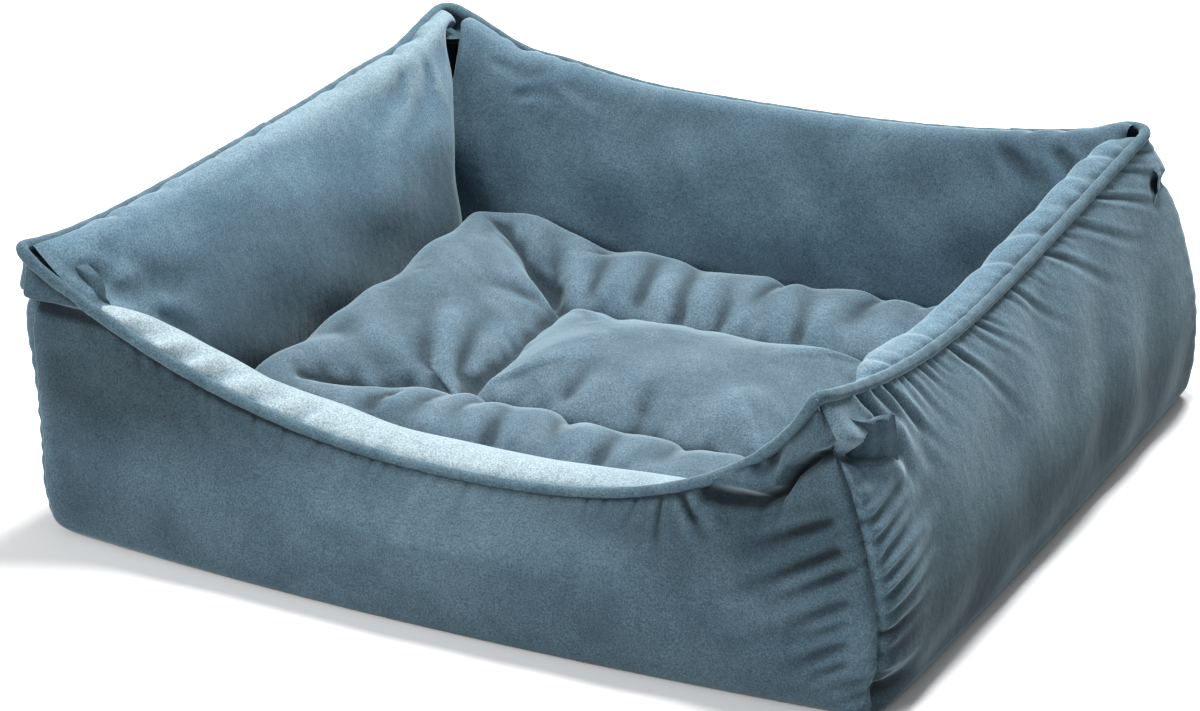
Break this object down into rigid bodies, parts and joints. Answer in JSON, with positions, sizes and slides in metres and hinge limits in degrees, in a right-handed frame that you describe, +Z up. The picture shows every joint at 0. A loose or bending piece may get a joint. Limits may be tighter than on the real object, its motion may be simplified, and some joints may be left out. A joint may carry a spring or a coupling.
{
  "type": "pet bed",
  "caption": "Rectangular pet bed with bolster walls that dip at the front, a piped crest and a loose quilted cushion that lifts out.",
  "frame": {"origin": "centre of the bed's footprint, on the floor it stands on", "axes": "+X along the width, to the right of someone who faces the low front; +Y from the front to the rear; +Z up"},
  "size_m": [0.6998, 0.6698, 0.2435],
  "materials": {
    "velvet_outer": "short pile velvet, slate blue",
    "velvet_inner": "short pile velvet, slate blue",
    "velvet_cushion": "short pile velvet, slate blue",
    "velvet_piping": "short pile velvet cut on the bias, slate blue",
    "fibre_fill": "loose polyester fibre",
    "cotton_cord": "twisted cord",
    "base_cloth": "plain woven underside cloth with a dotted grip",
    "floor_cloth": "plain woven cloth",
    "foam": "foam sheet",
    "thread": "polyester sewing thread",
    "zip_tape": "woven tape",
    "zip_coil": "nylon coil",
    "zip_metal": "enamelled zinc"
  },
  "bodies": {
    "bed": {"front_outer_panel": "velvet_outer", "front_inner_panel": "velvet_inner", "front_bolster_fill": "fibre_fill", "right_outer_panel": "velvet_outer", "right_inner_panel": "velvet_inner", "right_bolster_fill": "fibre_fill", "rear_outer_panel": "velvet_outer", "rear_inner_panel": "velvet_inner", "rear_bolster_fill": "fibre_fill", "left_outer_panel": "velvet_outer", "left_inner_panel": "velvet_inner", "left_bolster_fill": "fibre_fill", "front_right_gusset": "velvet_inner", "rear_right_gusset": "velvet_inner", "rear_left_gusset": "velvet_inner", "front_left_gusset": "velvet_inner", "front_piping": "velvet_piping", "rear_piping": "velvet_piping", "front_piping_cord": "cotton_cord", "rear_piping_cord": "cotton_cord", "base_cloth": "base_cloth", "floor_pad": "foam", "floor_cloth": "floor_cloth"},
    "cushion": {"cushion_top_cover": "velvet_cushion", "cushion_bottom_cover": "velvet_cushion", "cushion_fill": "fibre_fill", "quilting_thread": "thread", "zip_tape": "zip_tape", "zip_coil": "zip_coil", "zip_stops": "zip_metal"},
    "zip_slider": {"zip_slider": "zip_metal"},
    "zip_pull": {"zip_pull": "zip_metal"}
  },
  "joints": [
    {"name": "cushion_lift", "type": "slide", "parent": "bed", "child": "cushion", "axis": [0, 0, 1], "range_m": [0, 0.25]},
    {"name": "zip_slide", "type": "slide", "parent": "cushion", "child": "zip_slider", "axis": [-1, 0, 0], "range_m": [0, 0.27]},
    {"name": "zip_pull_hinge", "type": "hinge", "parent": "zip_slider", "child": "zip_pull", "pos_m": [0.135, 0.2066, 0.0282], "axis": [0, 0, -1], "range_deg": [0, 180]}
  ]
}
